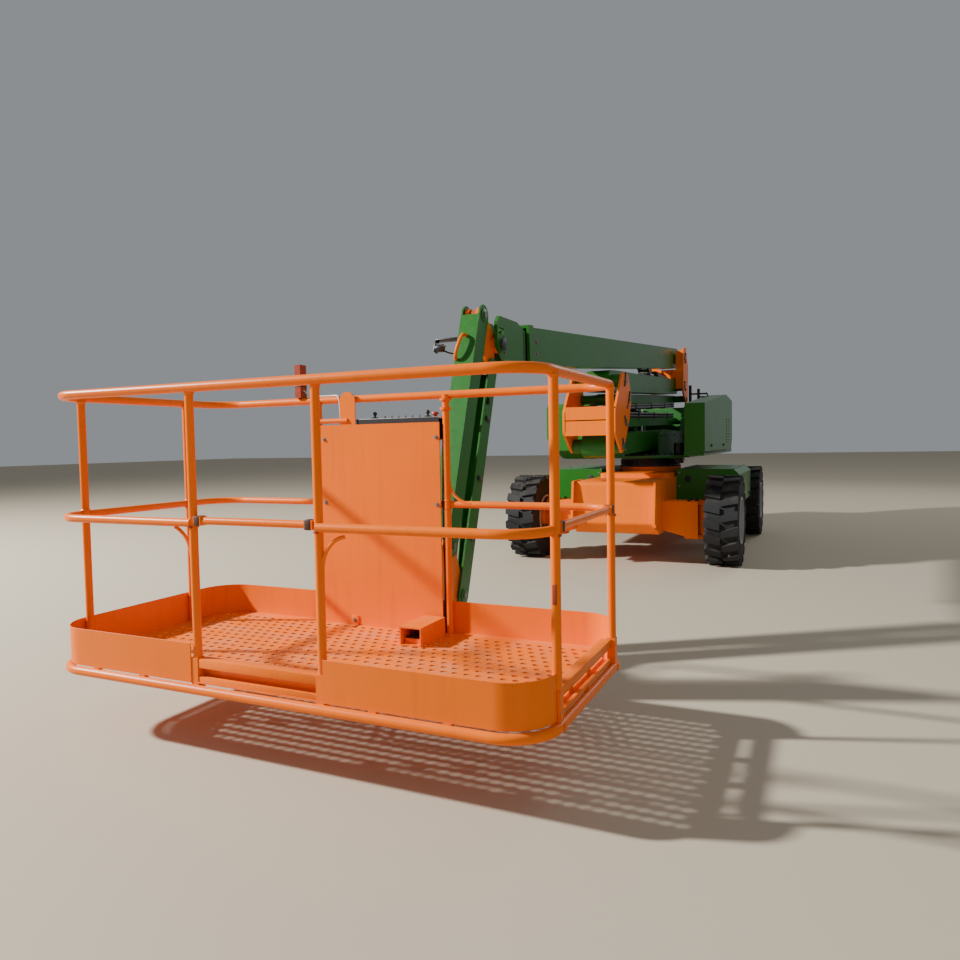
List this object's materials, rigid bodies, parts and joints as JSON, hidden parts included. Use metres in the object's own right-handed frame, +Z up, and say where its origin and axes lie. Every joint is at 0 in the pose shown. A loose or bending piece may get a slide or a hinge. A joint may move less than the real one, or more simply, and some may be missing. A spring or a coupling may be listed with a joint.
{
  "type": "articulating boom lift",
  "caption": "Articulating boom lift: wheeled orange chassis, green turntable with a folded riser, telescopic boom, parallel jib and orange railed work platform.",
  "frame": {"origin": "on the ground, below the middle of the overall length and width", "axes": "+X from the chassis towards the stowed work platform, +Y to the machine's left, +Z up"},
  "size_m": [8.3869, 2.2945, 2.42],
  "materials": {
    "orange_paint": "semi-gloss orange paint",
    "green_paint": "semi-gloss green paint",
    "black_paint": "satin black paint",
    "pin_steel": "plain pin steel",
    "tyre_rubber": "moulded rubber",
    "rim_paint": "light grey paint",
    "chrome_rod": "ground and chromed",
    "black_plastic": "matte black",
    "cast_weight": "painted casting",
    "red_lens": "red-brown moulding"
  },
  "bodies": {
    "chassis": {"chassis_frame": "orange_paint", "axle_beams": "orange_paint", "side_boxes": "green_paint", "slew_ring": "black_paint"},
    "steer_left": {"steer_knuckle_left": "orange_paint"},
    "steer_right": {"steer_knuckle_right": "orange_paint"},
    "wheel_front_left": {"tyre_front_left": "tyre_rubber", "rim_front_left": "rim_paint"},
    "wheel_front_right": {"tyre_front_right": "tyre_rubber", "rim_front_right": "rim_paint"},
    "wheel_rear_left": {"tyre_rear_left": "tyre_rubber", "rim_rear_left": "rim_paint"},
    "wheel_rear_right": {"tyre_rear_right": "tyre_rubber", "rim_rear_right": "rim_paint"},
    "door_left": {"side_door_left": "green_paint"},
    "door_right": {"side_door_right": "green_paint"},
    "turntable": {"turntable_frame": "green_paint", "turntable_pins": "pin_steel", "counterweight": "cast_weight", "engine_and_tank": "black_paint", "hood_posts": "black_paint", "slew_drive": "black_paint"},
    "hood_left": {"hood_left": "green_paint"},
    "hood_right": {"hood_right": "green_paint"},
    "lower_arm": {"riser_lower_arm": "green_paint", "riser_cylinder_pin": "pin_steel"},
    "lower_link": {"riser_lower_link": "green_paint"},
    "knuckle": {"riser_knuckle": "orange_paint", "knuckle_pins": "pin_steel"},
    "upper_arm": {"riser_upper_arm": "green_paint"},
    "upper_link": {"riser_upper_link": "green_paint"},
    "upright": {"boom_upright": "orange_paint", "upright_pins": "pin_steel"},
    "riser_barrel": {"riser_cylinder_barrel": "black_paint"},
    "riser_rod": {"riser_cylinder_rod": "chrome_rod"},
    "lift_barrel": {"lift_cylinder_barrel": "black_paint"},
    "lift_rod": {"lift_cylinder_rod": "chrome_rod"},
    "boom": {"boom_outer": "green_paint", "lift_cylinder_lugs": "pin_steel", "boom_wear_pads": "black_plastic"},
    "fly": {"boom_fly": "green_paint", "nose_pin": "pin_steel"},
    "jib_base": {"jib_base": "orange_paint", "jib_head_pins": "pin_steel"},
    "front_arm": {"jib_front_arm": "green_paint"},
    "rear_arm": {"jib_rear_arm": "green_paint"},
    "jib_barrel": {"jib_cylinder_barrel": "orange_paint"},
    "jib_rod": {"jib_cylinder_rod": "chrome_rod"},
    "support": {"platform_support": "orange_paint", "support_pins": "pin_steel", "rotary_actuator": "black_paint"},
    "platform": {"platform_frame": "orange_paint", "platform_deck": "orange_paint", "back_panel": "orange_paint", "control_console": "black_plastic", "rail_box": "red_lens", "foot_switch": "orange_paint", "platform_yoke": "orange_paint"},
    "gate_front": {"gate_bar_front": "orange_paint"},
    "gate_side": {"gate_bar_side": "orange_paint"}
  },
  "joints": [
    {"name": "slew", "type": "hinge", "parent": "chassis", "child": "turntable", "pos_m": [-2.3035, 0.03475, 0.995], "axis": [0, 0, 1], "continuous": true},
    {"name": "riser_lift", "type": "hinge", "parent": "turntable", "child": "lower_arm", "pos_m": [-3.7035, -0.05525, 1.223], "axis": [0, -1, 0], "range_deg": [0, 60]},
    {"name": "lower_link_turn", "type": "hinge", "parent": "turntable", "child": "lower_link", "pos_m": [-3.8035, -0.05525, 1.436], "axis": [0, -1, 0], "range_deg": [0, 61]},
    {"name": "knuckle_turn", "type": "hinge", "parent": "lower_arm", "child": "knuckle", "pos_m": [-0.4035, -0.05525, 1.14], "axis": [0, 1, 0], "range_deg": [0, 61]},
    {"name": "upper_arm_turn", "type": "hinge", "parent": "knuckle", "child": "upper_arm", "pos_m": [-0.5135, -0.05525, 1.738], "axis": [0, 1, 0], "range_deg": [0, 61]},
    {"name": "upper_link_turn", "type": "hinge", "parent": "knuckle", "child": "upper_link", "pos_m": [-0.6635, -0.05525, 1.578], "axis": [0, 1, 0], "range_deg": [0, 61]},
    {"name": "upright_turn", "type": "hinge", "parent": "upper_arm", "child": "upright", "pos_m": [-3.9035, -0.05525, 1.895], "axis": [0, -1, 0], "range_deg": [0, 61]},
    {"name": "riser_barrel_turn", "type": "hinge", "parent": "lower_arm", "child": "riser_barrel", "pos_m": [-1.7035, -0.05525, 1.33], "axis": [0, -1, 0], "range_deg": [-4.15, 1]},
    {"name": "riser_rod_slide", "type": "slide", "parent": "riser_barrel", "child": "riser_rod", "axis": [0.9887, 0, 0.1501], "range_m": [0, 0.4059]},
    {"name": "boom_luff", "type": "hinge", "parent": "upright", "child": "boom", "pos_m": [-3.9235, -0.05525, 2.2717], "axis": [0, -1, 0], "range_deg": [0, 78]},
    {"name": "lift_barrel_turn", "type": "hinge", "parent": "upright", "child": "lift_barrel", "pos_m": [-3.6835, -0.05525, 1.96], "axis": [0, -1, 0], "range_deg": [0, 78.4]},
    {"name": "lift_rod_slide", "type": "slide", "parent": "lift_barrel", "child": "lift_rod", "axis": [1, 0, 0.0098], "range_m": [0, 0.5049]},
    {"name": "boom_telescope", "type": "slide", "parent": "boom", "child": "fly", "axis": [0.9966, 0, -0.0825], "range_m": [0, 2.8]},
    {"name": "jib_level", "type": "hinge", "parent": "fly", "child": "jib_base", "pos_m": [2.0265, -0.05525, 1.779], "axis": [0, 1, 0], "range_deg": [0, 79]},
    {"name": "jib_lift", "type": "hinge", "parent": "jib_base", "child": "front_arm", "pos_m": [2.2085, -0.05525, 1.933], "axis": [0, -1, 0], "range_deg": [0, 112]},
    {"name": "rear_arm_turn", "type": "hinge", "parent": "jib_base", "child": "rear_arm", "pos_m": [2.0855, -0.05525, 1.638], "axis": [0, -1, 0], "range_deg": [0, 113]},
    {"name": "support_turn", "type": "hinge", "parent": "front_arm", "child": "support", "pos_m": [2.67075, -0.05525, 0.63484], "axis": [0, 1, 0], "range_deg": [0, 113]},
    {"name": "jib_barrel_turn", "type": "hinge", "parent": "jib_base", "child": "jib_barrel", "pos_m": [2.2085, -0.05525, 1.933], "axis": [0, -1, 0], "range_deg": [0, 113.3]},
    {"name": "jib_rod_slide", "type": "slide", "parent": "jib_barrel", "child": "jib_rod", "axis": [-0.2083, 0, 0.9781], "range_m": [0, 0.5399]},
    {"name": "platform_turn", "type": "hinge", "parent": "support", "child": "platform", "pos_m": [2.9765, -0.05525, 0.48], "axis": [0, 0, 1], "range_deg": [-80, 80]},
    {"name": "gate_front_lift", "type": "slide", "parent": "platform", "child": "gate_front", "axis": [0, 0, 1], "range_m": [0, 0.4]},
    {"name": "gate_side_lift", "type": "slide", "parent": "platform", "child": "gate_side", "axis": [0, 0, 1], "range_m": [0, 0.4]},
    {"name": "steer_left_turn", "type": "hinge", "parent": "chassis", "child": "steer_left", "pos_m": [-1.0535, 0.79475, 0.4225], "axis": [0, 0, 1], "range_deg": [-35, 35]},
    {"name": "steer_right_turn", "type": "hinge", "parent": "chassis", "child": "steer_right", "pos_m": [-1.0535, -0.72525, 0.4225], "axis": [0, 0, 1], "range_deg": [-35, 35]},
    {"name": "wheel_front_left_roll", "type": "hinge", "parent": "steer_left", "child": "wheel_front_left", "pos_m": [-1.0535, 0.99475, 0.4225], "axis": [0, 1, 0], "continuous": true},
    {"name": "wheel_front_right_roll", "type": "hinge", "parent": "steer_right", "child": "wheel_front_right", "pos_m": [-1.0535, -0.92525, 0.4225], "axis": [0, 1, 0], "continuous": true},
    {"name": "wheel_rear_left_roll", "type": "hinge", "parent": "chassis", "child": "wheel_rear_left", "pos_m": [-3.5535, 0.99475, 0.4225], "axis": [0, 1, 0], "continuous": true},
    {"name": "wheel_rear_right_roll", "type": "hinge", "parent": "chassis", "child": "wheel_rear_right", "pos_m": [-3.5535, -0.92525, 0.4225], "axis": [0, 1, 0], "continuous": true},
    {"name": "door_left_open", "type": "hinge", "parent": "chassis", "child": "door_left", "pos_m": [-2.3035, 0.99875, 0.883], "axis": [1, 0, 0], "range_deg": [0, 80]},
    {"name": "door_right_open", "type": "hinge", "parent": "chassis", "child": "door_right", "pos_m": [-2.3035, -0.92925, 0.883], "axis": [-1, 0, 0], "range_deg": [0, 80]},
    {"name": "hood_left_open", "type": "hinge", "parent": "turntable", "child": "hood_left", "pos_m": [-2.3035, -0.45725, 1.618], "axis": [-1, 0, 0], "range_deg": [0, 60]},
    {"name": "hood_right_open", "type": "hinge", "parent": "turntable", "child": "hood_right", "pos_m": [-2.3035, 0.52675, 1.752], "axis": [1, 0, 0], "range_deg": [0, 60]}
  ],
  "couplings": [
    {"joint": "lower_link_turn", "follows": "riser_lift", "ratio": 1},
    {"joint": "knuckle_turn", "follows": "riser_lift", "ratio": 1},
    {"joint": "upper_arm_turn", "follows": "riser_lift", "ratio": 1},
    {"joint": "upper_link_turn", "follows": "riser_lift", "ratio": 1},
    {"joint": "upright_turn", "follows": "riser_lift", "ratio": 1},
    {"joint": "riser_barrel_turn", "follows": "riser_lift", "ratio": -0.052581},
    {"joint": "riser_rod_slide", "follows": "riser_lift", "m_per_rad": 0.37807},
    {"joint": "lift_barrel_turn", "follows": "boom_luff", "ratio": 0.99277},
    {"joint": "lift_rod_slide", "follows": "boom_luff", "m_per_rad": 0.36356},
    {"joint": "jib_level", "follows": "boom_luff", "ratio": 1},
    {"joint": "rear_arm_turn", "follows": "jib_lift", "ratio": 1},
    {"joint": "support_turn", "follows": "jib_lift", "ratio": 1},
    {"joint": "jib_barrel_turn", "follows": "jib_lift", "ratio": 1.0028},
    {"joint": "jib_rod_slide", "follows": "jib_lift", "m_per_rad": 0.27108},
    {"joint": "steer_right_turn", "follows": "steer_left_turn", "ratio": 1}
  ]
}
